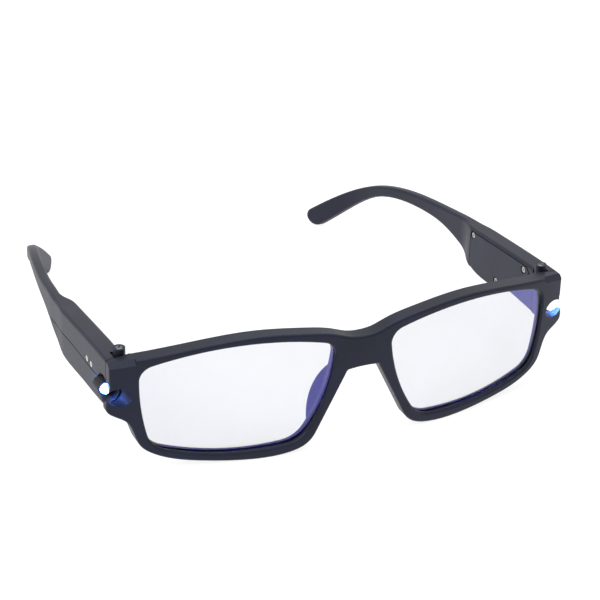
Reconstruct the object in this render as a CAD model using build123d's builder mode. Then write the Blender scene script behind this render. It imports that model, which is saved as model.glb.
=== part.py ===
# Lighted reading glasses with a lamp in the front end of each temple.
# They stand on a table, open, on the lower rims and the two temple tips.
# +Z is up, the wearer looks along -Y, and +X is the wearer's left.
# The origin is on the table, below the middle of the bridge.
import os
from math import asin, cos, radians, sin, sqrt

from build123d import *

os.makedirs("parts", exist_ok=True)

# Front of the frame, in millimetres
rim_top = 2.25
front_depth = 4.4
wrap_radius = 213.0
rim_front_rounding = 0.7
nasal_foot_rounding = 8.0

# Lenses, in the boxed sizes that an optician reads
lens_width = 53.6
lens_height = 33.4
bridge_width = 17.0
lens_base_height = 2.85
lens_middle_thickness = 2.5
lens_setback = 0.6
lens_front_radius = 180.0
lens_back_radius = 480.0
groove_depth = 0.7
lens_play = 0.05

# End pieces, which carry the hinges
end_piece_width = 7.9
end_piece_length = 2.67
end_block_width = 6.8
end_block_low_share = 0.442
end_ledge = 1.4
facet_start_share = 0.893

# Hinges
hinge_inset = 4.6
hinge_reach = 2.1
hinge_rise = 2.16
barrel_radius = 1.7
barrel_height = 2.9
barrel_gap = 0.2
hinge_floor = 0.8
top_barrel_height = 3.2
hinge_neck_width = 2.4
top_neck_height = 1.3
hinge_screw_radius = 0.6
hinge_screw_head_radius = 1.05
hinge_screw_head_height = 0.7
screw_slot_width = 0.35
screw_slot_depth = 0.3
hinge_bore_clearance = 0.05
cutout_gap = 0.3
cutout_reach = 2.1
cutout_width = 4.0

# Nose pads, moulded in one with the rims
pad_length = 23.0
pad_reach = 4.9
pad_root = 1.0
pad_thickness = 2.0
pad_splay = 20.0
pad_drop = 9.2
pad_inset = 1.15
pad_rounding_share = 0.4

# Temples: a box in front, then an arm that sweeps inwards and down to the tip
temple_gap = 0.25
box_length = 42.75
box_thickness = 5.8
box_rise = 0.16
box_fall = 3.6
box_depth = 17.7
box_toe = 2.6
arm_length = 74.4
tip_sweep = 21.6
waist_inset = 1.0
waist_rounding = 12.0
temple_rounding = 0.9
tip_rounding = 2.9
wall = 1.3
panel_step = 0.2
seam_width = 0.35
seam_depth = 0.5

# Battery cover and its screws
cover_thickness = 1.0
cover_start = 5.45
cover_rear_margin = 2.1
cover_margin = 0.8
cover_chamfer = 2.2
cover_play = 0.3
cover_screw_head_radius = 0.95
cover_screw_head_height = 0.45
cover_screw_radius = 0.5
cover_screw_length = 2.6
cover_screw_sink = 0.15
cover_screw_clearance = 0.2
boss_radius = 1.5
cross_length = 1.2
cross_width = 0.3
cross_depth = 0.25

# Lamp, the pocket that it stands in, the bowl round it and the scoop in front of it
led_radius = 1.5
led_length = 5.4
led_setback = 1.15
led_rise = 7.4
led_inset = 0.8
led_flange_radius = 1.75
led_flange_length = 0.8
collar_wall = 0.5
collar_length = 2.2
pocket_radius = 2.9
pocket_length = 5.3
bowl_radius = 5.2
bowl_offset = 2.4
bowl_setback = 2.15
scoop_length = 9.0
scoop_front_radius = 2.6
scoop_turn = 20.0
lead_radius = 0.25
lead_pitch = 1.27
lead_stub = 1.2
lead_play = 0.1

# Parts inside a temple
board_gap = 0.2
board_thickness = 0.6
board_rounding = 0.5
board_start = 9.55
board_length = 11.1
board_height = 7.6
board_rise = 4.8
front_wall = 7.5
rear_wall = 3.2
cell_gap = 0.6
cell_length = 16.0
cell_height = 7.4
cell_rise = 5.5
cell_thickness = 2.5
cell_rounding = 0.5
tab_thickness = 0.12
tab_width = 1.8
tab_overlap = 1.6
contact_radius = 0.9
contact_depth = 0.35
contact_clearance = 0.2
contact_pin_radius = 0.45
contact_start = 11.85
contact_pitch = 3.4
contact_rise = 10.2

# Components of the board: the driver, the charging chip, two capacitors and two resistors,
# each with its middle and its size as shares of the board's length and height, and its
# own height as a share of the board's thickness
board_part_shares = [
    ((0.568, 0.513), (0.270, 0.395), 1.5),
    ((0.568, 0.855), (0.144, 0.158), 1.17),
    ((0.270, 0.697), (0.108, 0.092), 0.83),
    ((0.270, 0.882), (0.108, 0.092), 0.83),
    ((0.757, 0.539), (0.090, 0.066), 0.67),
    ((0.757, 0.382), (0.090, 0.066), 0.67),
]

# Switch in the underside of a temple
switch_start = 14.75
switch_inset = 3.0
switch_travel = 2.0
knob_length = 2.6
knob_width = 1.6
knob_drop = 0.8
slider_flange = 0.7
slider_flange_height = 0.6
slider_play = 0.1
switch_floor_rise = 1.7
switch_floor_thickness = 1.3
recess_margin = 0.6
knob_rounding_share = 0.2
switch_body_length = 8.2
switch_body_width = 2.6
switch_body_height = 1.7

# Shared clearance for pieces that are let into another, and the overrun of a cut
fit_gap = 0.05
overrun = 5.0

# Outline of one lens as seen from the front: four shallow arcs and four rounded corners.
# Corners and arc middles are shares of the boxed lens, from its nasal side and its base.
corner_shares = [(-0.002, 0.891), (1.0, 0.845), (0.948, 0.127), (0.19, 0.027)]
middle_shares = [(0.42, 1.0), (0.997, 0.53), (0.48, 0.0), (0.050, 0.45)]
corner_rounding_shares = [0.13, 0.15, 0.20, 0.25]

# The frame's outline as shares of half the width and of the height: the brow from the
# bridge outwards, then the side of the end piece, the foot below it and the nasal side.
brow_shares = [(0, 0.873), (0.05, 0.881), (0.115, 0.921), (0.24, 0.968), (0.44, 0.998), (0.70, 0.952)]
brow_end_share = (1.0, 0.866)
lip_shares = [(1.0, 0.70), (1.011, 0.56), (1.010, 0.487), (0.985, 0.447)]
foot_shares = [(0.94, 0.40), (0.915, 0.315), (0.888, 0.195), (0.829, 0.117), (0.657, 0.039)]
base_shares = [(0.45, 0.002), (0.31, 0.014), (0.25, 0.046), (0.205, 0.113)]
bridge_share = (0.068, 0.618)
bridge_middle_share = (0, 0.626)

# Side view of a temple's box: places along it, with the share of the fall of its top
# edge, and with the share of the height of its bottom edge above the belly.
box_top_shares = [(0, 0), (0.404, 0.333), (0.825, 0.806), (1, 1)]
box_bottom_shares = [(0, 1), (0.30, 0.52), (0.495, 0.308), (0.708, 0), (0.848, 0), (1, 0.54)]
step_shares = [
    (0, 0.56), (0.14, 0.54), (0.29, 0.506), (0.48, 0.494),
    (0.685, 0.472), (0.906, 0.415), (1.12, 0.342), (1.28, 0.28),
]

# Side view of the arm: places along it, with the share of the box's height above the table
arm_top_shares = [
    (0.057, 0.987), (0.136, 0.969), (0.249, 0.938), (0.385, 0.906), (0.536, 0.852),
    (0.674, 0.759), (0.817, 0.583), (0.945, 0.343), (1.048, 0.115),
]
arm_bottom_shares = [
    (0.073, 0.637), (0.144, 0.695), (0.249, 0.748), (0.381, 0.76), (0.526, 0.73),
    (0.656, 0.647), (0.783, 0.461), (0.895, 0.201), (0.995, -0.032),
]

# Plan of the arm: places along it, with the share of its sweep inwards
outer_shares = [
    (-0.101, 0), (0, 0.028), (0.067, 0.039), (0.143, 0.065), (0.251, 0.10), (0.387, 0.17),
    (0.535, 0.27), (0.671, 0.384), (0.808, 0.532), (0.930, 0.771), (1.011, 0.941), (1.082, 1.095),
]
inner_shares = [
    (0.063, 0.177), (0.138, 0.203), (0.246, 0.238), (0.379, 0.307), (0.527, 0.406),
    (0.66, 0.518), (0.792, 0.659), (0.91, 0.891), (0.989, 1.059), (1.082, 1.255),
]

# Screws of the cover as shares of the box's length and height, and tabs of the cell's height
cover_screw_shares = [(0.916, 0.695), (0.219, 0.819), (0.567, 0.209)]
tab_shares = [0.35, 0.85]


def crest_depth(x):
    """How far the front of the frame lies behind its foremost point at x."""
    return wrap_radius - sqrt(wrap_radius**2 - x**2)


def back_depth(x):
    """How far the back of the rims lies behind the foremost point at x."""
    return wrap_radius - sqrt((wrap_radius - front_depth) ** 2 - x**2)


half_bridge = bridge_width / 2
half_width = half_bridge + lens_width + end_piece_width
front_height = lens_base_height + lens_height + rim_top
reach = half_width + overrun
lens_middle_x = half_bridge + lens_width / 2
lens_middle_z = lens_base_height + lens_height / 2
lens_tilt = asin(lens_middle_x / wrap_radius)
end_piece_inner = half_width - end_block_width
end_piece_back = crest_depth(half_width) + end_piece_length
end_piece_top = front_height * brow_end_share[1]
hinge_x = half_width - hinge_inset
hinge_depth = end_piece_back + hinge_reach
hinge_high = end_piece_top + hinge_rise
top_barrel_low = hinge_high - top_barrel_height
temple_barrel_low = top_barrel_low - barrel_gap - barrel_height
hinge_low = temple_barrel_low - barrel_gap - barrel_height
temple_front = end_piece_back + temple_gap
box_end = temple_front + box_length
box_inner = half_width - box_thickness
box_front_top = end_piece_top + box_rise
box_rear_top = box_front_top - box_fall
box_belly = box_front_top - box_depth
cutout_rear = hinge_depth + cutout_reach
cover_front = temple_front + cover_start
cover_rear = box_end - cover_rear_margin
cover_floor = box_inner + cover_thickness + fit_gap
cavity_front = temple_front + front_wall
cavity_rear = box_end - rear_wall
cavity_outer = half_width - wall
led_x = half_width - led_inset
led_height = box_belly + led_rise
led_tip = temple_front + led_setback
led_base = led_tip + led_length
pocket_rear = temple_front + pocket_length
board_outer = cavity_outer - board_gap
board_inner = board_outer - board_thickness
way_outer = led_x + lead_radius + lead_play
way_inner = cavity_outer - fit_gap
board_front = temple_front + board_start
board_low = box_belly + board_rise
cell_low = box_belly + cell_rise
contact_front = temple_front + contact_start
contact_height = box_belly + contact_rise
switch_x = half_width - switch_inset
switch_middle = temple_front + switch_start
switch_floor = box_belly + switch_floor_rise
switch_seat = switch_floor + switch_floor_thickness




def on_crest(edge):
    """Whether an edge lies in the front face of the frame."""
    spots = [edge @ place for place in (0, 0.5, 1)]
    return all(abs(spot.Y - crest_depth(spot.X)) < fit_gap for spot in spots)




def write_piece(piece, label):
    piece.part.label = label
    export_step(piece.part, f"parts/{label}.step")


def write_pair(piece, name):
    """Write a left-hand piece and its mirrored twin."""
    write_piece(piece, name + "_left")
    with BuildPart() as twin:
        mirror(piece.part, about=Plane.YZ)
    write_piece(twin, name + "_right")


def add_both(piece, mode=Mode.ADD):
    """Add a piece and its mirror image to the part in work."""
    add(piece.part, mode=mode)
    add(piece.part.mirror(Plane.YZ), mode=mode)


def on_lens(share, growth):
    x = half_bridge - growth + share[0] * (lens_width + 2 * growth)
    return (x, lens_base_height - growth + share[1] * (lens_height + 2 * growth))


def lens_outline(growth):
    """One lens as seen from the front, grown all round."""
    corners = [on_lens(share, growth) for share in corner_shares]
    middles = [on_lens(share, growth) for share in middle_shares]
    with BuildSketch() as outline:
        with BuildLine():
            for index in range(len(corners)):
                ThreePointArc(corners[index], middles[index], corners[(index + 1) % len(corners)])
        make_face()
        for corner, share in zip(corners, corner_rounding_shares):
            vertex = outline.vertices().sort_by_distance(corner)[0]
            fillet(vertex, share * lens_height + growth)
    return outline.sketch


def on_front(share, side):
    return (side * half_width * share[0], front_height * share[1])


def front_outline():
    """The whole frame as seen from the front, with no lens holes."""
    low_shares = lip_shares + foot_shares + base_shares
    outer_brow = brow_shares[1:] + [brow_end_share]
    brow = [on_front(share, -1) for share in reversed(outer_brow)]
    brow += [on_front(share, 1) for share in brow_shares + [brow_end_share]]
    with BuildSketch() as outline:
        with BuildLine():
            Spline(brow)
            for side in (-1, 1):
                Line(on_front(brow_end_share, side), on_front(lip_shares[0], side))
                Spline([on_front(share, side) for share in low_shares])
                Line(on_front(base_shares[-1], side), on_front(bridge_share, side))
            bridge_ends = [on_front(bridge_share, side) for side in (-1, 1)]
            ThreePointArc(bridge_ends[0], on_front(bridge_middle_share, 1), bridge_ends[1])
        make_face()
        for side in (-1, 1):
            for share in (bridge_share, brow_end_share):
                vertex = outline.vertices().sort_by_distance(on_front(share, side))[0]
                fillet(vertex, rim_front_rounding)
            vertex = outline.vertices().sort_by_distance(on_front(base_shares[-1], side))[0]
            fillet(vertex, nasal_foot_rounding)
    return outline.sketch


def lens_blank(growth, play):
    """A lens with its outline grown by growth and its faces moved out by play."""
    backwards = Vector(-sin(lens_tilt), cos(lens_tilt), 0)
    crest = Vector(lens_middle_x, crest_depth(lens_middle_x), lens_middle_z)
    front_middle = crest + backwards * lens_setback
    back_middle = front_middle + backwards * lens_middle_thickness
    with BuildPart() as blank:
        with BuildSketch(Plane.XZ):
            add(lens_outline(growth))
        extrude(amount=-(end_piece_back + overrun))
        with Locations(front_middle + backwards * lens_front_radius):
            Sphere(lens_front_radius + play, mode=Mode.INTERSECT)
        with Locations(back_middle + backwards * lens_back_radius):
            Sphere(lens_back_radius - play, mode=Mode.SUBTRACT)
    return blank.part


# Curved strip that the rims are cut from
with BuildPart() as strip:
    with BuildSketch():
        with BuildLine():
            ThreePointArc((-reach, crest_depth(reach)), (0, 0), (reach, crest_depth(reach)))
            Line((reach, crest_depth(reach)), (reach, back_depth(reach)))
            ThreePointArc((reach, back_depth(reach)), (0, front_depth), (-reach, back_depth(reach)))
            Line((-reach, back_depth(reach)), (-reach, crest_depth(reach)))
        make_face()
    extrude(amount=front_height + overrun)

# Block that carries an end piece back to the hinge
with BuildPart() as end_block:
    with BuildSketch(Plane.XY.offset(front_height * end_block_low_share)):
        with BuildLine():
            inner_front = (end_piece_inner, crest_depth(end_piece_inner))
            outer_front = (reach, crest_depth(reach))
            middle_x = (end_piece_inner + reach) / 2
            ThreePointArc(inner_front, (middle_x, crest_depth(middle_x)), outer_front)
            Line(outer_front, (reach, end_piece_back))
            Line((reach, end_piece_back), (end_piece_inner, end_piece_back))
            Line((end_piece_inner, end_piece_back), inner_front)
        make_face()
    extrude(amount=front_height)

# Blade of a nose pad, on a plane along the nasal side of the rim
nasal_top = on_front(bridge_share, 1)
nasal_foot = on_front(base_shares[-1], 1)
nasal_run = Vector(nasal_foot[0] - nasal_top[0], 0, nasal_foot[1] - nasal_top[1]).normalized()
lens_side = Vector(-nasal_run.Z, 0, nasal_run.X)
pad_back = Vector(0, cos(radians(pad_splay)), 0) + lens_side * sin(radians(pad_splay))
pad_middle = Vector(nasal_top[0], 0, nasal_top[1]) + nasal_run * pad_drop + lens_side * pad_inset
pad_plane = Plane(
    origin=pad_middle + Vector(0, front_depth - pad_root, 0),
    x_dir=nasal_run,
    z_dir=nasal_run.cross(pad_back),
)
with BuildPart() as nose_pad:
    with BuildSketch(pad_plane):
        with BuildLine():
            half_pad = pad_length / 2
            pad_depth = pad_root + pad_reach
            ThreePointArc((-half_pad, 0), (0, pad_depth), (half_pad, 0))
            Line((half_pad, 0), (-half_pad, 0))
        make_face()
    extrude(amount=pad_thickness / 2, both=True)
    fillet(nose_pad.edges().filter_by(GeomType.CIRCLE), pad_thickness * pad_rounding_share)

# Front hinge barrels with the necks that join them to an end piece
with BuildPart() as front_barrels:
    for low, height, neck_height in (
        (hinge_low, barrel_height, barrel_height),
        (top_barrel_low, top_barrel_height, top_neck_height),
    ):
        with BuildSketch(Plane.XY.offset(low)):
            with Locations((hinge_x, hinge_depth)):
                Circle(barrel_radius)
        extrude(amount=height)
        with BuildSketch(Plane.XY.offset(low)):
            with Locations((hinge_x, (hinge_depth + end_piece_back - barrel_radius) / 2)):
                Rectangle(hinge_neck_width, hinge_depth - end_piece_back + barrel_radius)
        extrude(amount=neck_height)

# Scoop in front of a lamp, turned towards the page
scoop_middle = Vector(led_x, led_tip, led_height)
forwards = Vector(-sin(radians(scoop_turn)), -cos(radians(scoop_turn)), 0)
with BuildPart() as scoop:
    with BuildSketch(Plane(origin=scoop_middle, x_dir=forwards.cross(Vector(0, 0, -1)), z_dir=(0, 0, -1))):
        with BuildLine():
            Polyline(
                (0, scoop_length),
                (scoop_front_radius, scoop_length),
                (pocket_radius, 0),
                (pocket_radius, -overrun),
                (0, -overrun),
                close=True,
            )
        make_face()
    revolve(axis=Axis(scoop_middle, forwards))

# Bowl round the lamp, which opens to the side of the temple
with BuildPart() as bowl:
    with Locations((half_width + bowl_offset, temple_front + bowl_setback, led_height)):
        Sphere(bowl_radius)

# Facet along the top front edge of an end piece
facet_start = Vector(end_piece_inner, crest_depth(end_piece_inner), front_height * facet_start_share)
facet_end = Vector(half_width, crest_depth(half_width), front_height * brow_end_share[1])
facet_run = (facet_end - facet_start).normalized()
facet_plane = Plane(origin=facet_start, x_dir=Vector(0, 0, 1).cross(facet_run), z_dir=facet_run)
with BuildPart() as facet:
    with BuildSketch(facet_plane):
        with BuildLine():
            Polyline(
                (-overrun, overrun),
                (end_ledge + overrun, overrun),
                (-overrun, -end_ledge - overrun),
                close=True,
            )
        make_face()
    extrude(amount=end_ledge + reach - end_piece_inner)

groove = lens_blank(groove_depth + lens_play, lens_play)

with BuildPart() as front_frame:
    with BuildSketch(Plane.XZ):
        add(front_outline())
    extrude(amount=-end_piece_back)
    add(strip.part + end_block.part + end_block.part.mirror(Plane.YZ), mode=Mode.INTERSECT)
    with BuildSketch(Plane.XZ):
        add(lens_outline(0))
        mirror(about=Plane.YZ)
    extrude(amount=-(end_piece_back + overrun), mode=Mode.SUBTRACT)
    front_edges = front_frame.edges().filter_by(on_crest)
    fillet(front_edges, rim_front_rounding)
    add(groove, mode=Mode.SUBTRACT)
    add(groove.mirror(Plane.YZ), mode=Mode.SUBTRACT)
    add_both(facet, Mode.SUBTRACT)
    add_both(front_barrels)
    add_both(scoop, Mode.SUBTRACT)
    add_both(nose_pad)
    with Locations((hinge_x, hinge_depth, hinge_high), (-hinge_x, hinge_depth, hinge_high)):
        CounterBoreHole(
            radius=hinge_screw_radius + hinge_bore_clearance,
            counter_bore_radius=hinge_screw_head_radius + hinge_bore_clearance,
            counter_bore_depth=hinge_screw_head_height,
            depth=hinge_high - hinge_low - hinge_floor,
        )
write_piece(front_frame, "front_frame")

# Lens, a thin plus lens that stands in the groove of its rim
with BuildPart() as lens:
    add(lens_blank(groove_depth, 0))
write_pair(lens, "lens")

# Hinge screw, with a slotted head let into the top barrel
with BuildPart() as hinge_screw:
    with BuildSketch(Plane.XY.offset(hinge_low + hinge_floor + fit_gap)):
        with Locations((hinge_x, hinge_depth)):
            Circle(hinge_screw_radius)
    extrude(amount=hinge_high - hinge_low - hinge_floor - fit_gap)
    with BuildSketch(Plane.XY.offset(hinge_high - hinge_screw_head_height + fit_gap)):
        with Locations((hinge_x, hinge_depth)):
            Circle(hinge_screw_head_radius)
    extrude(amount=hinge_screw_head_height)
    with BuildSketch(Plane.XY.offset(hinge_high + fit_gap)):
        with Locations((hinge_x, hinge_depth)):
            Rectangle(hinge_screw_head_radius * 3, screw_slot_width)
    extrude(amount=-screw_slot_depth, mode=Mode.SUBTRACT)
write_pair(hinge_screw, "hinge_screw")


def on_box_top(share):
    return Vector(temple_front + share[0] * box_length, box_front_top - share[1] * box_fall)


def on_box_bottom(share):
    return Vector(temple_front + share[0] * box_length, box_belly + share[1] * box_toe)


def on_box(share):
    return Vector(temple_front + share[0] * box_length, box_belly + share[1] * box_depth)


def on_arm(share):
    """A place on the arm from the side."""
    return Vector(box_end + share[0] * arm_length, share[1] * box_rear_top)


def on_plan(share):
    """A place on the arm from above."""
    return Vector(half_width - share[1] * tip_sweep, box_end + share[0] * arm_length)


def temple_side(lowered=0, raised=0):
    """A temple from the side, its top edge lowered and its bottom edge raised."""
    top_spots = [on_box_top(share) for share in box_top_shares]
    top_spots += [on_arm(share) for share in arm_top_shares]
    bottom_spots = [on_box_bottom(share) for share in box_bottom_shares]
    bottom_spots += [on_arm(share) for share in arm_bottom_shares]
    with BuildSketch() as outline:
        with BuildLine():
            top = Spline([spot - Vector(0, lowered) for spot in top_spots])
            bottom = Spline([spot + Vector(0, raised) for spot in bottom_spots])
            Line(top @ 0, bottom @ 0)
            Line(top @ 1, bottom @ 1)
        make_face()
    return outline.sketch


def step_side(lowered):
    """The lower panel of the outer face as seen from the side, its top edge lowered."""
    spots = [on_box(share) - Vector(0, lowered) for share in step_shares]
    low = box_belly - box_depth
    with BuildSketch() as outline:
        with BuildLine():
            Spline(spots)
            Polyline(spots[0], (spots[0].X, low), (spots[-1].X, low), spots[-1])
        make_face()
    return outline.sketch


def cover_side(shrink):
    """The battery cover as seen from the side, with its outline drawn in by shrink."""
    with BuildSketch() as outline:
        add(temple_side(cover_margin + shrink, shrink))
        with Locations(((cover_front + cover_rear) / 2, box_belly + box_depth / 2)):
            Rectangle(cover_rear - cover_front - 2 * shrink, box_depth * 2, mode=Mode.INTERSECT)
        top = box_front_top - cover_margin - 2 * shrink
        with BuildLine():
            Polyline(
                (cover_front - overrun, top - cover_chamfer - overrun),
                (cover_front - overrun, top + overrun),
                (cover_front + cover_chamfer + overrun, top + overrun),
                close=True,
            )
        make_face(mode=Mode.SUBTRACT)
    return outline.sketch


def outer_side(depth):
    """Plan of all that lies outside a temple's outer face, moved inwards by depth."""
    line = half_width - depth
    bend = [on_plan(share) - Vector(depth, 0) for share in outer_shares]
    with BuildSketch() as plan:
        with BuildLine():
            Spline(bend, tangents=[(0, 1), bend[-1] - bend[-2]])
            Polyline(bend[-1], (reach, bend[-1].Y), (reach, 0), (line, 0), bend[0])
        make_face()
    return plan.sketch


def inner_side():
    """Plan of all that lies inside a temple's inner face."""
    bend = [on_plan(share) for share in inner_shares]
    waist = (box_inner, box_end - waist_inset)
    with BuildSketch() as plan:
        with BuildLine():
            Spline(bend)
            Polyline(bend[-1], (0, bend[-1].Y), (0, 0), (box_inner, 0), waist, bend[0])
        make_face()
        for corner in (waist, bend[0]):
            fillet(plan.vertices().sort_by_distance(corner)[0], waist_rounding)
    return plan.sketch


# Cuts that leave the lower panel of the outer face, and the seam along its edge
with BuildPart() as panel_cut:
    with BuildSketch(Plane.YZ.offset(box_inner)):
        add(step_side(0))
    extrude(amount=reach)
    with BuildSketch():
        add(outer_side(panel_step))
    extrude(amount=front_height, mode=Mode.INTERSECT)

with BuildPart() as seam_cut:
    with BuildSketch(Plane.YZ.offset(box_inner)):
        add(step_side(0))
        add(step_side(seam_width), mode=Mode.SUBTRACT)
    extrude(amount=reach)
    with BuildSketch():
        add(outer_side(seam_depth))
    extrude(amount=front_height, mode=Mode.INTERSECT)

# Hinge barrel of a temple with its neck
with BuildPart() as temple_barrel:
    with BuildSketch(Plane.XY.offset(temple_barrel_low)):
        with Locations((hinge_x, hinge_depth)):
            Circle(barrel_radius)
    extrude(amount=barrel_height)
    with BuildSketch(Plane.XY.offset(temple_barrel_low)):
        neck_run = cutout_rear - hinge_depth + wall
        with Locations((hinge_x, hinge_depth + neck_run / 2)):
            Rectangle(hinge_neck_width, neck_run)
    extrude(amount=barrel_height)

with BuildSketch() as temple_outline:
    add(temple_side())
    for share in (arm_top_shares[-1], arm_bottom_shares[-1]):
        fillet(temple_outline.vertices().sort_by_distance(on_arm(share))[0], tip_rounding)

# Shell of a temple: box, arm and tip in one
with BuildPart() as temple_shell:
    with BuildSketch(Plane.YZ):
        add(temple_outline.sketch)
    extrude(amount=half_width)
    with BuildSketch(Plane.XY.offset(-overrun)):
        add(outer_side(0))
        add(inner_side())
    extrude(amount=front_height + 2 * overrun, mode=Mode.SUBTRACT)
    upright_edges = temple_shell.edges().filter_by(Axis.Z)
    fillet(upright_edges.sort_by_distance((box_inner, temple_front, box_belly))[0], hinge_x - box_inner)
    long_edges = temple_shell.edges().filter_by(lambda edge: edge.length > box_length / 2)
    fillet(long_edges, temple_rounding)
    add(panel_cut.part, mode=Mode.SUBTRACT)
    add(seam_cut.part, mode=Mode.SUBTRACT)

    # Lamp pocket with its bowl, the seat of the collar and the way of the leads behind it
    add(bowl.part, mode=Mode.SUBTRACT)
    with BuildSketch(Plane.XZ.offset(-pocket_rear)):
        with Locations((led_x, led_height)):
            Circle(pocket_radius)
    extrude(amount=pocket_rear, mode=Mode.SUBTRACT)
    with BuildSketch(Plane.XZ.offset(-led_base - fit_gap)):
        with Locations((led_x, led_height)):
            Circle(led_flange_radius + collar_wall + fit_gap)
    extrude(amount=pocket_rear, mode=Mode.SUBTRACT)
    with BuildSketch(Plane.XZ.offset(-led_base)):
        with Locations(((way_outer + way_inner) / 2, led_height)):
            Rectangle(way_outer - way_inner, lead_pitch + lead_radius * 4)
    extrude(amount=-(board_front - led_base), mode=Mode.SUBTRACT)

    # Cut-out round the hinge, then the barrel
    with BuildSketch(Plane.XY.offset(hinge_low - cutout_gap)):
        with Locations((hinge_x, (temple_front + cutout_rear) / 2 - overrun / 2)):
            Rectangle(cutout_width, cutout_rear - temple_front + overrun)
    extrude(amount=front_height, mode=Mode.SUBTRACT)
    add(temple_barrel.part)
    with Locations((hinge_x, hinge_depth, temple_barrel_low + barrel_height)):
        Hole(hinge_screw_radius + hinge_bore_clearance, depth=barrel_height)

    # Hollow for the cell and the board, and the rebate for the cover
    with BuildSketch(Plane.YZ.offset(box_inner)):
        add(temple_side(wall, wall))
        with Locations(((cavity_front + cavity_rear) / 2, box_belly + box_depth / 2)):
            Rectangle(cavity_rear - cavity_front, box_depth * 2, mode=Mode.INTERSECT)
    extrude(amount=cavity_outer - box_inner, mode=Mode.SUBTRACT)
    with BuildSketch(Plane.YZ.offset(box_inner)):
        add(cover_side(0))
        add(cover_side(0).moved(Location((0, -wall, 0))))
    extrude(amount=cover_floor - box_inner, mode=Mode.SUBTRACT)
    screw_spots = [on_box(share) for share in cover_screw_shares]
    with BuildSketch(Plane.YZ.offset(cover_floor)):
        with Locations(*screw_spots):
            Circle(boss_radius)
    extrude(amount=cavity_outer - cover_floor + fit_gap)
    with BuildSketch(Plane.YZ.offset(cover_floor)):
        with Locations(*screw_spots):
            Circle(cover_screw_radius + fit_gap)
    extrude(amount=cover_screw_length, mode=Mode.SUBTRACT)

    # Slot for the switch with a recess for the fingertip, on the underside
    slot_length = knob_length + switch_travel + 2 * slider_play
    with BuildSketch(Plane.XY.offset(switch_floor)):
        with Locations((switch_x, switch_middle)):
            SlotOverall(slot_length + 2 * recess_margin, knob_width + 2 * recess_margin, rotation=90)
    extrude(amount=-box_belly, mode=Mode.SUBTRACT)
    with BuildSketch(Plane.XY.offset(switch_floor)):
        with Locations((switch_x, switch_middle)):
            Rectangle(knob_width + 2 * slider_play, slot_length)
    extrude(amount=switch_seat - switch_floor, both=True, mode=Mode.SUBTRACT)

    # Holes for the charging contacts
    contact_spots = [(contact_front, contact_height), (contact_front + contact_pitch, contact_height)]
    for radius, depth in (
        (contact_radius + contact_clearance, contact_depth),
        (contact_pin_radius + fit_gap, wall + board_gap),
    ):
        with BuildSketch(Plane.YZ.offset(half_width)):
            with Locations(*contact_spots):
                Circle(radius)
        extrude(amount=-depth, mode=Mode.SUBTRACT)
write_pair(temple_shell, "temple_shell")

# Battery cover, flush with the inner face of the box
with BuildPart() as battery_cover:
    with BuildSketch(Plane.YZ.offset(box_inner)):
        add(cover_side(cover_play))
    extrude(amount=cover_thickness)
    low_edge = battery_cover.faces().sort_by(Axis.X)[0].edges().sort_by(Axis.Z)[0]
    fillet(low_edge, temple_rounding)
    sink = cover_screw_sink + cover_screw_head_height + fit_gap
    for radius, depth in (
        (cover_screw_head_radius + cover_screw_clearance, sink),
        (cover_screw_radius + fit_gap, cover_thickness),
    ):
        with BuildSketch(Plane.YZ.offset(box_inner)):
            with Locations(*screw_spots):
                Circle(radius)
        extrude(amount=depth, mode=Mode.SUBTRACT)
write_pair(battery_cover, "battery_cover")

# The three screws of a cover, with cross recesses
with BuildPart() as cover_screws:
    head_face = Plane.YZ.offset(box_inner + cover_screw_sink)
    with BuildSketch(head_face):
        with Locations(*screw_spots):
            Circle(cover_screw_head_radius)
    extrude(amount=cover_screw_head_height)
    with BuildSketch(head_face):
        with Locations(*screw_spots):
            Circle(cover_screw_radius)
    extrude(amount=cover_screw_length)
    with BuildSketch(head_face):
        with Locations(*screw_spots):
            Rectangle(cross_length, cross_width, rotation=45)
            Rectangle(cross_length, cross_width, rotation=-45)
    extrude(amount=cross_depth, mode=Mode.SUBTRACT)
write_pair(cover_screws, "cover_screws")

# Lamp: a round-nosed body with a flange at its base
with BuildPart() as led:
    with BuildSketch(Plane.XY.offset(led_height)):
        with BuildLine():
            nose = led_tip + led_radius
            flange = led_base - led_flange_length
            slant = led_radius * sin(radians(45))
            ThreePointArc((led_x, led_tip), (led_x + slant, nose - slant), (led_x + led_radius, nose))
            Polyline(
                (led_x + led_radius, nose),
                (led_x + led_radius, flange),
                (led_x + led_flange_radius, flange),
                (led_x + led_flange_radius, led_base),
                (led_x, led_base),
                (led_x, led_tip),
            )
        make_face()
    revolve(axis=Axis((led_x, 0, led_height), (0, 1, 0)))
write_pair(led, "led")

# Collar that holds the lamp in the wall of the box
with BuildPart() as led_collar:
    with BuildSketch(Plane.XZ.offset(-led_base)):
        with Locations((led_x, led_height)):
            Circle(led_flange_radius + collar_wall)
            Circle(led_flange_radius + fit_gap, mode=Mode.SUBTRACT)
    extrude(amount=led_flange_length + fit_gap)
    with BuildSketch(Plane.XZ.offset(-led_base + led_flange_length + fit_gap)):
        with Locations((led_x, led_height)):
            Circle(led_flange_radius + collar_wall)
            Circle(led_radius + fit_gap, mode=Mode.SUBTRACT)
    extrude(amount=collar_length - led_flange_length - fit_gap)
write_pair(led_collar, "led_collar")

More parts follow.
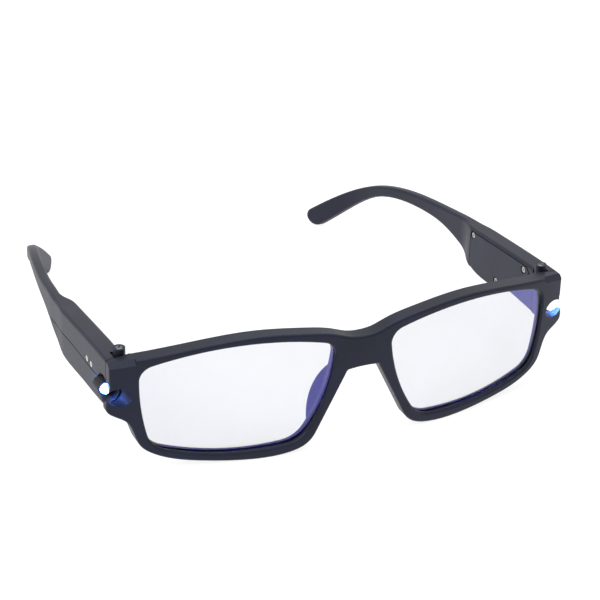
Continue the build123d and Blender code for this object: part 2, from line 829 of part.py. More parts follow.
# Leads from the lamp to the inner face of the board
with BuildPart() as led_leads:
    lead_x = board_inner - lead_radius - fit_gap / 2
    for side in (-1, 1):
        lead_z = led_height + side * lead_pitch / 2
        with BuildLine() as route:
            FilletPolyline(
                (led_x, led_base, lead_z),
                (led_x, led_base + lead_stub, lead_z),
                (lead_x, board_front - lead_stub / 2, lead_z),
                (lead_x, board_front + lead_stub, lead_z),
                radius=lead_radius * 1.6,
            )
        with BuildSketch(Plane.XZ.offset(-led_base)):
            with Locations((led_x, lead_z)):
                Circle(lead_radius)
        sweep(path=route.line)
write_pair(led_leads, "led_leads")

# Circuit board, upright behind the outer wall
with BuildPart() as circuit_board:
    with BuildSketch(Plane.YZ.offset(board_inner)):
        with Locations((board_front + board_length / 2, board_low + board_height / 2)):
            RectangleRounded(board_length, board_height, board_rounding)
    extrude(amount=board_thickness)
write_pair(circuit_board, "circuit_board")

# Components on the inner face of the board: a driver, a charging chip and small parts

with BuildPart() as board_components:
    for place, size, height_share in board_part_shares:
        with BuildSketch(Plane.YZ.offset(board_inner)):
            with Locations((board_front + place[0] * board_length, board_low + place[1] * board_height)):
                Rectangle(size[0] * board_length, size[1] * board_height)
        extrude(amount=-height_share * board_thickness)
write_pair(board_components, "board_components")

# Cell, and the two tabs that join it to the board
cell_front = board_front + board_length + cell_gap
cell_outer = cavity_outer - board_gap
with BuildPart() as cell:
    with BuildSketch(Plane.YZ.offset(cell_outer)):
        with Locations((cell_front + cell_length / 2, cell_low + cell_height / 2)):
            RectangleRounded(cell_length, cell_height, cell_rounding)
    extrude(amount=-cell_thickness)
write_pair(cell, "cell")

with BuildPart() as cell_tabs:
    tab_length = cell_gap + tab_overlap
    for share in tab_shares:
        with BuildSketch(Plane.YZ.offset(board_inner - fit_gap)):
            with Locations((cell_front - tab_length / 2, cell_low + share * cell_height)):
                Rectangle(tab_length, tab_width)
        extrude(amount=-tab_thickness)
write_pair(cell_tabs, "cell_tabs")

# Switch: a body on the board's lower edge, open below, and the slider in it
flange_length = knob_length + 2 * slider_flange
with BuildPart() as switch_body:
    with BuildSketch(Plane.XY.offset(switch_seat)):
        with Locations((switch_x, switch_middle)):
            Rectangle(switch_body_width, switch_body_length)
    extrude(amount=switch_body_height)
    with BuildSketch(Plane.XY.offset(switch_seat)):
        with Locations((switch_x, switch_middle)):
            Rectangle(knob_width + 2 * slider_play, flange_length + switch_travel + 2 * slider_play)
    extrude(amount=slider_flange_height + 2 * slider_play, mode=Mode.SUBTRACT)
write_pair(switch_body, "switch_body")

with BuildPart() as switch_slider:
    slider_middle = (switch_x, switch_middle - switch_travel / 2)
    with BuildSketch(Plane.XY.offset(switch_floor - knob_drop)):
        with Locations(slider_middle):
            Rectangle(knob_width, knob_length)
    extrude(amount=switch_seat + slider_play - switch_floor + knob_drop)
    knob_edges = switch_slider.faces().sort_by(Axis.Z)[0].edges()
    fillet(knob_edges, knob_width * knob_rounding_share)
    with BuildSketch(Plane.XY.offset(switch_seat + slider_play)):
        with Locations(slider_middle):
            Rectangle(knob_width, flange_length)
    extrude(amount=slider_flange_height)
write_pair(switch_slider, "switch_slider")

# Charging contacts: discs in the outer face with pins through to the board
with BuildPart() as charge_contacts:
    for radius, low, high in (
        (contact_radius, half_width - contact_depth, half_width - fit_gap),
        (contact_pin_radius, board_outer, half_width - contact_depth),
    ):
        with BuildSketch(Plane.YZ.offset(low)):
            with Locations(*contact_spots):
                Circle(radius)
        extrude(amount=high - low)
write_pair(charge_contacts, "charge_contacts")
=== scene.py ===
# Lighted reading glasses: a matt black frame, coated lenses and a lit lamp in each temple
import math
import bmesh
import bpy
from mathutils import Matrix, Vector


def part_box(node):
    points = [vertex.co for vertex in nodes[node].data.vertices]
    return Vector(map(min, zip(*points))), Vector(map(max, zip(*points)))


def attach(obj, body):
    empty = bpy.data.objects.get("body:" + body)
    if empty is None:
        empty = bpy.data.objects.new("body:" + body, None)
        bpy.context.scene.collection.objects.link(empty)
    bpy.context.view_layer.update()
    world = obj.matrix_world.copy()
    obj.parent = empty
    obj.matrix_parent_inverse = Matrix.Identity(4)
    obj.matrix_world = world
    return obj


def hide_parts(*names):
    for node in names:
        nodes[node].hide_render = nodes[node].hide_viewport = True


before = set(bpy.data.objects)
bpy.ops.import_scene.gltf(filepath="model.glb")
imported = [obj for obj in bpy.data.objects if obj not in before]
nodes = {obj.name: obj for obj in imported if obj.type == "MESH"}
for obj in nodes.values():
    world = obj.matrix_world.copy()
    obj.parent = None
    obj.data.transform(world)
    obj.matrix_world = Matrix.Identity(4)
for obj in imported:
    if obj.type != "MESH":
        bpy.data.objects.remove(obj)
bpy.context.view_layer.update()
mm = 0.001
# where the values of noise lie
noiseSpan = {"From Min": 0.35, "From Max": 0.65}
sides = {"left": 1, "right": -1}
print("frame loaded with", len(nodes), "nodes")


def linearColour(hexText):
    # sRGB hex to the linear colour that a shader takes
    parts = [int(hexText[i:i + 2], 16) / 255 for i in (1, 3, 5)]
    return [p / 12.92 if p <= 0.04045 else ((p + 0.055) / 1.055) ** 2.4 for p in parts] + [1.0]


def perMm(size):
    # texture scale for features of that size in millimetres, on coordinates in metres
    return 1 / (size * mm)


def addNode(tree, kind, settings=None, links=None):
    # one node with its settings, which are sockets or properties, and what feeds it
    node = tree.nodes.new(kind)
    for name, value in (settings or {}).items():
        if isinstance(name, int) or name in node.inputs:
            node.inputs[name].default_value = value
        else:
            setattr(node, name, value)
    for name, source in (links or {}).items():
        tree.links.new(source, node.inputs[name])
    return node


def startMaterial(name, settings):
    # a material with one Principled shader, and the Object coordinates for its patterns
    material = bpy.data.materials.new(name)
    material.use_nodes = True
    tree = material.node_tree
    tree.nodes.clear()
    shader = addNode(tree, "ShaderNodeBsdfPrincipled", settings)
    addNode(tree, "ShaderNodeOutputMaterial", links={"Surface": shader.outputs["BSDF"]})
    where = addNode(tree, "ShaderNodeTexCoord").outputs["Object"]
    return material, tree, shader, where


def dressSurface(tree, shader, where, look, pattern=None):
    # tones follow the first pattern, gloss and grain the last. They are noise, each with a patch size in mm
    # and its detail, unless one is given. Bump is a strength and a depth in mm. Gives the colour back
    patterns = [pattern]
    if pattern is None:
        patterns = [addNode(tree, "ShaderNodeTexNoise", {"Scale": perMm(size), "Detail": detail},
                            {"Vector": where}).outputs["Fac"] for size, detail in look["patches"]]
    first, second = look["tones"]
    share = addNode(tree, "ShaderNodeMapRange", noiseSpan, {"Value": patterns[0]})
    colour = addNode(tree, "ShaderNodeMix", {
        "data_type": "RGBA", 6: linearColour(first), 7: linearColour(second),
    }, {0: share.outputs["Result"]}).outputs[2]
    tree.links.new(colour, shader.inputs["Base Color"])
    if "gloss" in look:
        low, high = look["gloss"]
        gloss = addNode(tree, "ShaderNodeMapRange", {**noiseSpan, "To Min": low, "To Max": high}, {
            "Value": patterns[-1],
        })
        tree.links.new(gloss.outputs["Result"], shader.inputs["Roughness"])
    if "bump" in look:
        strength, depthMm = look["bump"]
        bump = addNode(tree, "ShaderNodeBump", {"Strength": strength, "Distance": depthMm * mm}, {
            "Height": patterns[-1],
        })
        tree.links.new(bump.outputs["Normal"], shader.inputs["Normal"])
    return colour


def paint(material, *names):
    # the material on the nodes of that name, left and right
    for name in names:
        for piece in (name, name + "_left", name + "_right"):
            if piece in nodes:
                nodes[piece].data.materials.clear()
                nodes[piece].data.materials.append(material)


meshLook = {"mergeMm": 0.002, "sharpDegrees": 35}


def startShape(profile, turns):
    # a closed body turned about Z from a profile of radii and heights in metres
    shape = bmesh.new()
    spots = [shape.verts.new((radius, 0, height)) for radius, height in profile]
    line = [shape.edges.new(pair) for pair in zip(spots, spots[1:])]
    bmesh.ops.spin(shape, geom=spots + line, cent=(0, 0, 0), axis=(0, 0, 1), angle=math.tau, steps=turns,
                   use_merge=True)
    bmesh.ops.remove_doubles(shape, verts=shape.verts, dist=meshLook["mergeMm"] * mm)
    return shape


def pointToFront(shape, lowest, highest):
    # lays a turned body along Y on the middle of a box, its foot at the back and its head to the front
    middle = (lowest + highest) / 2
    place = Matrix.Translation((middle.x, highest.y, middle.z)) @ Matrix.Rotation(math.pi / 2, 4, "X")
    bmesh.ops.transform(shape, matrix=place, verts=shape.verts)


def finishPiece(shape, name, body, slot, material, *replaced):
    # a finished mesh as an object at the origin that rides on its body
    bmesh.ops.recalc_face_normals(shape, faces=shape.faces)
    openEdges = sum(not edge.is_manifold for edge in shape.edges)
    mesh = bpy.data.meshes.new(name)
    shape.to_mesh(mesh)
    shape.free()
    mesh.shade_smooth()
    mesh.set_sharp_from_angle(angle=math.radians(meshLook["sharpDegrees"]))
    mesh.materials.append(material)
    piece = bpy.data.objects.new(name, mesh)
    bpy.context.scene.collection.objects.link(piece)
    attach(piece, body)
    if replaced:
        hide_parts(*replaced)
    print(name, len(mesh.polygons), "faces", openEdges, "open edges")


# Moulded plastics of the frame, each with its own tone, gloss and grain
plastics = {
    # rubber-touch paint over polycarbonate: near black with a cold cast, and a wide soft shine
    "softTouchPolycarbonate": {"tones": ("#13141c", "#191a26"), "gloss": (0.44, 0.52), "ior": 1.5,
                               "tint": "#ccd2f4", "grainMm": 0.30, "grainDepthMm": 0.02, "driftMm": 14,
                               "seam": True},
    # the front: near black with a cold cast, a little bluer in wide patches
    "softTouchFront": {"tones": ("#101118", "#181b2a"), "gloss": (0.36, 0.50), "ior": 1.46,
                       "tint": "#c6d0f4", "grainMm": 0.30, "grainDepthMm": 0.015, "driftMm": 22,
                       "seam": False},
    # plain moulded ABS of the covers, a shade greyer than the shell, with spark-eroded grain
    "sparkGrainAbs": {"tones": ("#1b1d26", "#202430"), "gloss": (0.50, 0.58), "ior": 1.52,
                      "tint": "#d4dbf4", "grainMm": 0.22, "grainDepthMm": 0.025, "driftMm": 9, "seam": False},
    # nylon of the switch knob: grey-black, waxy
    "waxyNylon": {"tones": ("#26272b", "#303137"), "gloss": (0.40, 0.48), "ior": 1.53,
                  "tint": "#ffffff", "grainMm": 0.4, "grainDepthMm": 0.01, "driftMm": 3, "seam": False},
}
# what all of them share: a faint sheen, the grain's strength, and the painted shade of gaps, black and
# without shine, against the shine of open faces
plasticLook = {"sheen": 0.06, "sheenRoughness": 0.5, "bump": 0.25, "toneDetail": 2.0, "grainDetail": 3.0,
               "gapShadeBlack": "#020203", "openShine": 0.5}
# painted shade in the gaps: ambient occlusion over a reach in mm, black below closed and clear above open
gapShade = {"samples": 8, "reachMm": 0.6, "closed": 0.45, "open": 0.9}


def gapShadeMask(tree):
    # 1 on open faces and 0 deep in the seams and gaps, where painted shade from ambient occlusion makes them
    # black
    near = addNode(tree, "ShaderNodeAmbientOcclusion", {
        "samples": gapShade["samples"], "Distance": gapShade["reachMm"] * mm,
    })
    return addNode(tree, "ShaderNodeMapRange", {
        "From Min": gapShade["closed"], "From Max": gapShade["open"],
    }, {"Value": near.outputs["AO"]}).outputs["Result"]


# Course of the seam on the outer face of a temple: a few places along it and their heights, in millimetres,
# which the painted shadow below the seam follows
seam = {"course": ((14.75, 25.7), (19, 25.5), (27, 24.75), (35, 24.55), (43, 24.2), (51, 23.45), (60, 22.25),
                   (69.4, 20.8)),
        "heights": (20, 26), "below": 0.25, "half": 0.4, "edge": 0.12, "outerFace": 66.5}


def besideSeam(tree, where):
    # 0 in the line of shade that the seam throws on the panel below it, and 1 elsewhere
    course, (low, high) = seam["course"], seam["heights"]
    start, end = course[0][0], course[-1][0]
    shares = [((y - start) / (end - start), (z - low) / (high - low)) for y, z in course]
    place = addNode(tree, "ShaderNodeSeparateXYZ", {}, {"Vector": where}).outputs
    along = addNode(tree, "ShaderNodeMapRange", {"From Min": start * mm, "From Max": end * mm}, {
        "Value": place["Y"],
    })
    curve = addNode(tree, "ShaderNodeFloatCurve", {}, {"Value": along.outputs["Result"]})
    points = curve.mapping.curves[0].points
    for share in shares[1:-1]:
        points.new(*share)
    points[0].location = shares[0]
    points[len(points) - 1].location = shares[-1]
    curve.mapping.update()
    middle = addNode(tree, "ShaderNodeMapRange", {
        "To Min": (low - seam["below"]) * mm, "To Max": (high - seam["below"]) * mm,
    }, {"Value": curve.outputs["Value"]})
    off = addNode(tree, "ShaderNodeMath", {"operation": "SUBTRACT"}, {
        0: place["Z"], 1: middle.outputs["Result"],
    })
    far = addNode(tree, "ShaderNodeMath", {"operation": "ABSOLUTE"}, {0: off.outputs[0]})
    clear = addNode(tree, "ShaderNodeMapRange", {
        "From Min": (seam["half"] - seam["edge"]) * mm, "From Max": seam["half"] * mm,
    }, {"Value": far.outputs[0]})
    across = addNode(tree, "ShaderNodeMath", {"operation": "ABSOLUTE"}, {0: place["X"]})
    inner = addNode(tree, "ShaderNodeMath", {"operation": "LESS_THAN", 1: seam["outerFace"] * mm}, {
        0: across.outputs[0],
    })
    return addNode(tree, "ShaderNodeMath", {"operation": "MAXIMUM"}, {
        0: clear.outputs["Result"], 1: inner.outputs[0],
    }).outputs[0]


def mouldedPlastic(name):
    look = plastics[name]
    material, tree, shader, where = startMaterial(name, {
        "IOR": look["ior"], "Specular Tint": linearColour(look["tint"]),
        "Sheen Weight": plasticLook["sheen"], "Sheen Roughness": plasticLook["sheenRoughness"],
    })
    surface = dressSurface(tree, shader, where, {
        **look, "bump": (plasticLook["bump"], look["grainDepthMm"]),
        "patches": ((look["driftMm"], plasticLook["toneDetail"]),
                    (look["grainMm"], plasticLook["grainDetail"])),
    })
    # painted shade: seams and gaps, and on the shell the line under its seam, go black and lose their shine
    unshaded = gapShadeMask(tree)
    if look["seam"]:
        unshaded = addNode(tree, "ShaderNodeMath", {"operation": "MULTIPLY"}, {
            0: unshaded, 1: besideSeam(tree, where),
        }).outputs[0]
    shaded = addNode(tree, "ShaderNodeMix", {"data_type": "RGBA", 6: linearColour(plasticLook["gapShadeBlack"])}, {
        0: unshaded, 7: surface,
    })
    tree.links.new(shaded.outputs[2], shader.inputs["Base Color"])
    shine = addNode(tree, "ShaderNodeMath", {"operation": "MULTIPLY", 1: plasticLook["openShine"]}, {0: unshaded})
    tree.links.new(shine.outputs[0], shader.inputs["Specular IOR Level"])
    return material


paint(mouldedPlastic("softTouchFront"), "front_frame")
paint(mouldedPlastic("softTouchPolycarbonate"), "temple_shell")
paint(mouldedPlastic("sparkGrainAbs"), "battery_cover")
paint(mouldedPlastic("waxyNylon"), "switch_slider")
print("plastics done")

# Cast resin lens whose hard coating sends violet back: clear over white, violet over dark
lensLook = {"tones": ("#e4e6cb", "#e1e3c6"), "gloss": (0.0, 0.012), "patches": ((30, 2.0), (2.5, 2.0)),
            "ior": 1.5, "coating": "#100a65", "coatingGloss": 0.06}


def coatedResin():
    material, tree, shader, where = startMaterial("coatedLensResin", {
        "Transmission Weight": 1.0, "IOR": lensLook["ior"],
    })
    dressSurface(tree, shader, where, lensLook)
    coating = addNode(tree, "ShaderNodeBsdfAnisotropic", {
        "Color": linearColour(lensLook["coating"]), "Roughness": lensLook["coatingGloss"],
    })
    both = addNode(tree, "ShaderNodeAddShader", {}, {0: shader.outputs["BSDF"], 1: coating.outputs["BSDF"]})
    output = next(node for node in tree.nodes if node.bl_idname == "ShaderNodeOutputMaterial")
    tree.links.new(both.outputs[0], output.inputs["Surface"])
    return material


paint(coatedResin(), "lens")
print("lenses done")

# Metals, whose small parts are turned or stamped
metals = {
    # nickel-plated steel of the screws: bright, faintly warm, with a fine grain
    "nickelPlatedSteel": {"tones": ("#c9c8c4", "#aeada9"), "gloss": (0.22, 0.34), "patchMm": 0.5},
    # blackened steel of the hinge screws: dark grey, lighter in small patches
    "blackenedSteel": {"tones": ("#55565c", "#8b8c92"), "gloss": (0.28, 0.42), "patchMm": 0.6},
    # gold-flashed brass of the charging contacts, rubbed pale
    "flashedContact": {"tones": ("#cfcac0", "#b9b3a6"), "gloss": (0.20, 0.36), "patchMm": 0.4},
    # tinned copper wire: soft grey-white
    "tinnedCopper": {"tones": ("#c4c5c6", "#a7a9ab"), "gloss": (0.30, 0.45), "patchMm": 0.8},
    # nickel strip of the cell's tabs
    "nickelStrip": {"tones": ("#b9b7b0", "#a3a19a"), "gloss": (0.25, 0.4), "patchMm": 1.2},
    # aluminium laminate of the pouch cell: bright and slightly crumpled
    "pouchLaminate": {"tones": ("#c8cacc", "#b4b7ba"), "gloss": (0.28, 0.38), "patchMm": 3.0},
}
metalGrain = {"detail": 4.0, "bump": 0.15, "depthShare": 0.02}


def smallMetal(name):
    look = metals[name]
    material, tree, shader, where = startMaterial(name, {"Metallic": 1.0})
    dressSurface(tree, shader, where, {
        **look, "patches": ((look["patchMm"], metalGrain["detail"]),),
        "bump": (metalGrain["bump"], look["patchMm"] * metalGrain["depthShare"]),
    })
    return material


screwSteel = smallMetal("nickelPlatedSteel")
hingeSteel = smallMetal("blackenedSteel")
paint(screwSteel, "cover_screws")
paint(hingeSteel, "hinge_screw")

# Screws in millimetres and degrees: a pan head with a rolled rim and its drive pressed in, on a plain shank
coverScrew = {"head": 0.95, "headHeight": 0.45, "shank": 0.5, "length": 2.6, "rim": 0.2, "driveReach": 0.62,
              "driveWidth": 0.3, "driveDepth": 0.25, "cuts": ((1, 0, 0), (0, 1, 0)), "turns": 40,
              "face": 64.35, "places": ((53.91, 28.10), (24.11, 30.30), (38.99, 19.50)),
              "turned": (20, 65, -8)}
hingeScrew = {"head": 1.05, "headHeight": 0.7, "shank": 0.6, "length": 8.5, "rim": 0.18, "driveReach": 0.87,
              "driveWidth": 0.35, "driveDepth": 0.3, "cuts": ((1, 0, 0),), "turns": 40, "turned": 35}
rimTurns = (22.5, 45, 67.5, 90)
lidSlack = {"depthMm": 0.001, "inside": 0.99, "outside": 1.001}


def turnedScrew(look):
    # the head's face lies at height 0 and the shank points down
    head, rim = look["head"] * mm, look["rim"] * mm
    profile = [(0, -look["length"] * mm), (look["shank"] * mm, -look["length"] * mm),
               (look["shank"] * mm, -look["headHeight"] * mm), (head, -look["headHeight"] * mm), (head, -rim)]
    for turn in rimTurns:
        angle = math.radians(turn)
        profile.append((head - rim * (1 - math.cos(angle)), -rim * (1 - math.sin(angle))))
    profile.append((look["driveReach"] * mm, 0))
    shape = startShape(profile, look["turns"])
    rimEdges = [edge for edge in shape.edges if edge.is_boundary]
    bmesh.ops.edgeloop_fill(shape, edges=rimEdges)
    half = look["driveWidth"] * mm / 2
    reach = look["driveReach"] * mm

    def lidFaces():
        # faces of the flat lid within the drive's reach
        return [face for face in shape.faces if face.calc_center_median().z > -lidSlack["depthMm"] * mm
                and face.calc_center_median().length < reach * lidSlack["inside"]
                and all(vert.co.length < reach * lidSlack["outside"] for vert in face.verts)]

    for cut in look["cuts"]:
        for side in (-1, 1):
            lid = lidFaces()
            parts = lid + [part for face in lid for part in (*face.edges, *face.verts)]
            bmesh.ops.bisect_plane(shape, geom=list(set(parts)), plane_co=Vector(cut) * half * side,
                                   plane_no=cut)
    drive = [face for face in lidFaces()
             if any(abs(face.calc_center_median().dot(Vector(cut))) < half for cut in look["cuts"])]
    sunk = bmesh.ops.extrude_face_region(shape, geom=drive)["geom"]
    bmesh.ops.translate(shape, vec=(0, 0, -look["driveDepth"] * mm),
                        verts=[part for part in sunk if isinstance(part, bmesh.types.BMVert)])
    bmesh.ops.delete(shape, geom=[face for face in drive if face.is_valid], context="FACES")
    return shape


def joinShapes(shapes):
    # several bmeshes in one, through a mesh for each
    whole = bmesh.new()
    for shape in shapes:
        carrier = bpy.data.meshes.new("carrier")
        shape.to_mesh(carrier)
        shape.free()
        whole.from_mesh(carrier)
        bpy.data.meshes.remove(carrier)
    return whole


for side, sign in sides.items():
    screws = []
    for turn, (along, height) in zip(coverScrew["turned"], coverScrew["places"]):
        screw = turnedScrew(coverScrew)
        outOfCover = Matrix.Rotation(-sign * math.pi / 2, 4, "Y")
        turned = Matrix.Rotation(math.radians(turn), 4, "Z")
        place = Matrix.Translation(Vector((sign * coverScrew["face"], along, height)) * mm)
        bmesh.ops.transform(screw, matrix=place @ outOfCover @ turned, verts=screw.verts)
        screws.append(screw)
    finishPiece(joinShapes(screws), "coverScrews" + side.title(), "temple_" + side, "screw_steel", screwSteel,
                "cover_screws_" + side)
    lowest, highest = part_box("hinge_screw_" + side)
    screw = turnedScrew(hingeScrew)
    middle = (lowest + highest) / 2
    turned = Matrix.Rotation(math.radians(hingeScrew["turned"] * sign), 4, "Z")
    place = Matrix.Translation((middle.x, middle.y, highest.z)) @ turned
    bmesh.ops.transform(screw, matrix=place, verts=screw.verts)
    finishPiece(screw, "hingeScrew" + side.title(), "front", "hinge_steel", hingeSteel, "hinge_screw_" + side)
paint(smallMetal("flashedContact"), "charge_contacts")
paint(smallMetal("tinnedCopper"), "led_leads")
paint(smallMetal("nickelStrip"), "cell_tabs")
paint(smallMetal("pouchLaminate"), "cell")
print("metals done")

# Black silicone of the lamp's collar: dull, a touch dusty
siliconeLook = {"tones": ("#0f0f12", "#1a1a1f"), "gloss": (0.55, 0.7), "patches": ((0.6, 4.0),),
                "ior": 1.41, "sheen": 0.1}


def collarSilicone():
    material, tree, shader, where = startMaterial("blackSilicone", {
        "IOR": siliconeLook["ior"], "Sheen Weight": siliconeLook["sheen"],
    })
    dressSurface(tree, shader, where, siliconeLook)
    return material


collarRubber = collarSilicone()

# The collar is a sleeve that leaves the round nose of the lamp bare; sizes in millimetres
sleeve = {"bore": 1.58, "outside": 2.2, "rim": 0.15, "behindNose": 1.3, "turns": 48}


def turnedSleeve(side):
    # a tube from the collar's foot to just behind the nose of the lamp
    lowest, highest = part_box("led_collar_" + side)
    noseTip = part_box("led_" + side)[0].y
    length = highest.y - noseTip - sleeve["behindNose"] * mm
    bore, outside, rim = (sleeve[name] * mm for name in ("bore", "outside", "rim"))
    profile = [(bore, 0), (outside, 0), (outside, length - rim), (outside - rim, length), (bore, length),
               (bore, 0)]
    shape = startShape(profile, sleeve["turns"])
    pointToFront(shape, lowest, highest)
    finishPiece(shape, "sleeve" + side.title(), "temple_" + side, "collar_rubber", collarRubber,
                "led_collar_" + side)


for side in sides:
    turnedSleeve(side)
print("sleeves done")

# Glass-epoxy board with green solder mask over its copper tracks
boardLook = {"tones": ("#1d5a3a", "#2c7a50"), "gloss": (0.3, 0.4), "bump": (0.3, 0.03), "ior": 1.55,
             "coat": 0.3, "trackMm": 0.9, "bandsPerScale": 20, "distortion": 6.0}


def solderMask():
    material, tree, shader, where = startMaterial("greenSolderMask", {
        "IOR": boardLook["ior"], "Coat Weight": boardLook["coat"],
    })
    tracks = addNode(tree, "ShaderNodeTexWave", {
        "wave_type": "BANDS", "bands_direction": "Z", "Distortion": boardLook["distortion"], "Detail": 0.0,
        "Scale": perMm(boardLook["trackMm"]) / boardLook["bandsPerScale"],
    }, {"Vector": where}).outputs["Fac"]
    dressSurface(tree, shader, where, boardLook, tracks)
    return material


# Moulding compound of the chips: dark grey with a sandy surface
compoundLook = {"tones": ("#1b1b1d", "#2b2b2e"), "gloss": (0.5, 0.65), "bump": (0.3, 0.01), "ior": 1.55,
                "patches": ((0.12, 3.0),)}


def mouldingCompound():
    material, tree, shader, where = startMaterial("mouldingCompound", {"IOR": compoundLook["ior"]})
    dressSurface(tree, shader, where, compoundLook)
    return material


paint(solderMask(), "circuit_board")
paint(mouldingCompound(), "board_components", "switch_body")
print("inside parts done")

# Lamp: a clear epoxy body lit from its chip, so bright that it looks white and throws blue on what is near.
# The half that faces the wearer's nose is dim, as the photograph shows it; sizes in millimetres
lampLook = {"light": "#558aff", "strength": 110.0, "dim": "#3f6cf3", "fadeMm": 18,
            "tones": ("#e8ecff", "#d8dcf4"), "patches": ((1.0, 2.0),), "ior": 1.53, "roughness": 0.08,
            "coat": 0.5,
            "radius": 1.5, "flange": 1.75, "flangeLength": 0.8, "flangeRim": 0.12, "rimShare": 0.3,
            "turns": 48, "noseSteps": 12}


def litEpoxy():
    material, tree, shader, where = startMaterial("litEpoxy", {
        "IOR": lampLook["ior"], "Roughness": lampLook["roughness"], "Coat Weight": lampLook["coat"],
        "Emission Strength": 1.0,
    })
    dressSurface(tree, shader, where, lampLook)
    normal = addNode(tree, "ShaderNodeTexCoord").outputs["Normal"]
    facing = addNode(tree, "ShaderNodeSeparateXYZ", {}, {"Vector": normal}).outputs["X"]
    across = addNode(tree, "ShaderNodeSeparateXYZ", {}, {"Vector": where}).outputs["X"]
    outwards = addNode(tree, "ShaderNodeMath", {"operation": "MULTIPLY"}, {0: across, 1: facing})
    outer = addNode(tree, "ShaderNodeMapRange", {"From Min": -lampLook["fadeMm"] * mm, "From Max": 0.0}, {
        "Value": outwards.outputs[0],
    })
    light = [part * lampLook["strength"] for part in linearColour(lampLook["light"])[:3]] + [1.0]
    glow = addNode(tree, "ShaderNodeMix", {"data_type": "RGBA", 6: linearColour(lampLook["dim"]), 7: light}, {
        0: outer.outputs["Result"],
    })
    tree.links.new(glow.outputs[2], shader.inputs["Emission Color"])
    return material


lampEpoxy = litEpoxy()
paint(lampEpoxy, "led")


def turnedLamp(side):
    # a round-nosed body on a flange with rounded rims, its nose towards the front
    lowest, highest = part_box("led_" + side)
    length = highest.y - lowest.y
    radius, flange, rim = lampLook["radius"] * mm, lampLook["flange"] * mm, lampLook["flangeRim"] * mm
    top, corner = lampLook["flangeLength"] * mm, rim * lampLook["rimShare"]
    profile = [(0, 0), (flange - rim, 0), (flange - corner, corner), (flange, rim), (flange, top - rim),
               (flange - corner, top - corner), (flange - rim, top), (radius + rim, top), (radius, top + rim)]
    for step in range(lampLook["noseSteps"] + 1):
        angle = math.pi / 2 * step / lampLook["noseSteps"]
        profile.append((radius * math.cos(angle), length - radius + radius * math.sin(angle)))
    shape = startShape(profile, lampLook["turns"])
    pointToFront(shape, lowest, highest)
    finishPiece(shape, "lamp" + side.title(), "temple_" + side, "led_epoxy", lampEpoxy, "led_" + side)


for side in sides:
    turnedLamp(side)
print("lamps done")

# Studio: pale floor that goes out into white, soft light from the wearer's right and above
studio = {
    "floorSize": 3.0, "floorAlbedo": "#8d8d90", "floorWhite": 0.86, "worldLevel": 0.75,
    "keyPlace": (-0.55, -0.15, 0.55), "keySize": 0.5, "keyPower": 3.8,
    "topPlace": (0.1, 0.15, 0.8), "topSize": 0.7, "topPower": 2.6, "aim": (0, 0.04, 0.02),
}


def seenDirectly(tree):
    # 1 where the camera, a mirror or a glass looks at it, and 0 where it only lights things
    path = addNode(tree, "ShaderNodeLightPath")
    first = addNode(tree, "ShaderNodeMath", {"operation": "MAXIMUM"}, {
        0: path.outputs["Is Camera Ray"], 1: path.outputs["Is Glossy Ray"],
    })
    return addNode(tree, "ShaderNodeMath", {"operation": "MAXIMUM"}, {
        0: first.outputs[0], 1: path.outputs["Is Transmission Ray"],
    }).outputs[0]


def paleFloor():
    # a grey floor for shadows, made white where it is seen
    material = bpy.data.materials.new("whiteSweep")
    material.use_nodes = True
    tree = material.node_tree
    tree.nodes.clear()
    lit = addNode(tree, "ShaderNodeBsdfDiffuse", {"Color": linearColour(studio["floorAlbedo"])})
    level = addNode(tree, "ShaderNodeMath", {"operation": "MULTIPLY", 1: studio["floorWhite"]}, {
        0: seenDirectly(tree),
    })
    white = addNode(tree, "ShaderNodeEmission", {}, {"Strength": level.outputs[0]})
    both = addNode(tree, "ShaderNodeAddShader", {}, {0: lit.outputs[0], 1: white.outputs[0]})
    addNode(tree, "ShaderNodeOutputMaterial", {}, {"Surface": both.outputs[0]})
    shape = bmesh.new()
    bmesh.ops.create_grid(shape, x_segments=1, y_segments=1, size=studio["floorSize"])
    mesh = bpy.data.meshes.new("floor")
    shape.to_mesh(mesh)
    shape.free()
    floor = bpy.data.objects.new("floor", mesh)
    floor.data.materials.append(material)
    bpy.context.scene.collection.objects.link(floor)


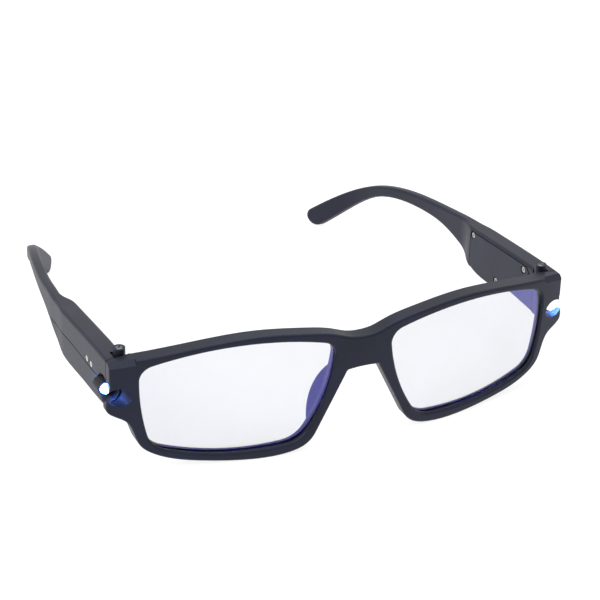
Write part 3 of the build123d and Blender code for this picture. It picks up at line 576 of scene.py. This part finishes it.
def studioWorld():
    # even light from all round, white where it is seen
    world = bpy.data.worlds.new("whiteStudio")
    world.use_nodes = True
    tree = world.node_tree
    tree.nodes.clear()
    level = addNode(tree, "ShaderNodeMapRange", {"To Min": studio["worldLevel"], "To Max": 1.0}, {
        "Value": seenDirectly(tree),
    })
    white = addNode(tree, "ShaderNodeBackground", {}, {"Strength": level.outputs["Result"]})
    addNode(tree, "ShaderNodeOutputWorld", {}, {"Surface": white.outputs[0]})
    bpy.context.scene.world = world


def softBox(name, place, size, power):
    light = bpy.data.lights.new(name, "AREA")
    light.size = size
    light.energy = power
    lamp = bpy.data.objects.new(name, light)
    aim = Vector(studio["aim"]) - Vector(place)
    lamp.matrix_world = Matrix.Translation(place) @ aim.to_track_quat("-Z", "Y").to_matrix().to_4x4()
    bpy.context.scene.collection.objects.link(lamp)


paleFloor()
studioWorld()
softBox("keyBox", studio["keyPlace"], studio["keySize"], studio["keyPower"])
softBox("topBox", studio["topPlace"], studio["topSize"], studio["topPower"])
bpy.context.scene.view_settings.view_transform = "Standard"
print("studio done")

# Camera where the photograph was taken from, worked out from the symmetry of the frame
view = {"azimuth": -25.72, "elevation": 27.87, "roll": 1.69, "distance": 0.556,
        "lens": 120.58, "sensor": 36, "aim": (-0.0118, 0.0175, 0.0386)}


def placeCamera():
    azimuth, elevation = math.radians(view["azimuth"]), math.radians(view["elevation"])
    back = Vector((math.sin(azimuth) * math.cos(elevation), -math.cos(azimuth) * math.cos(elevation),
                   math.sin(elevation)))
    lens = bpy.data.cameras.new("camera")
    lens.lens = view["lens"]
    lens.sensor_width = view["sensor"]
    camera = bpy.data.objects.new("camera", lens)
    turn = (-back).to_track_quat("-Z", "Y").to_matrix() @ Matrix.Rotation(math.radians(view["roll"]), 3, "Z")
    camera.matrix_world = Matrix.Translation(Vector(view["aim"]) + back * view["distance"]) @ turn.to_4x4()
    bpy.context.scene.collection.objects.link(camera)
    bpy.context.scene.camera = camera


placeCamera()
print("camera done")
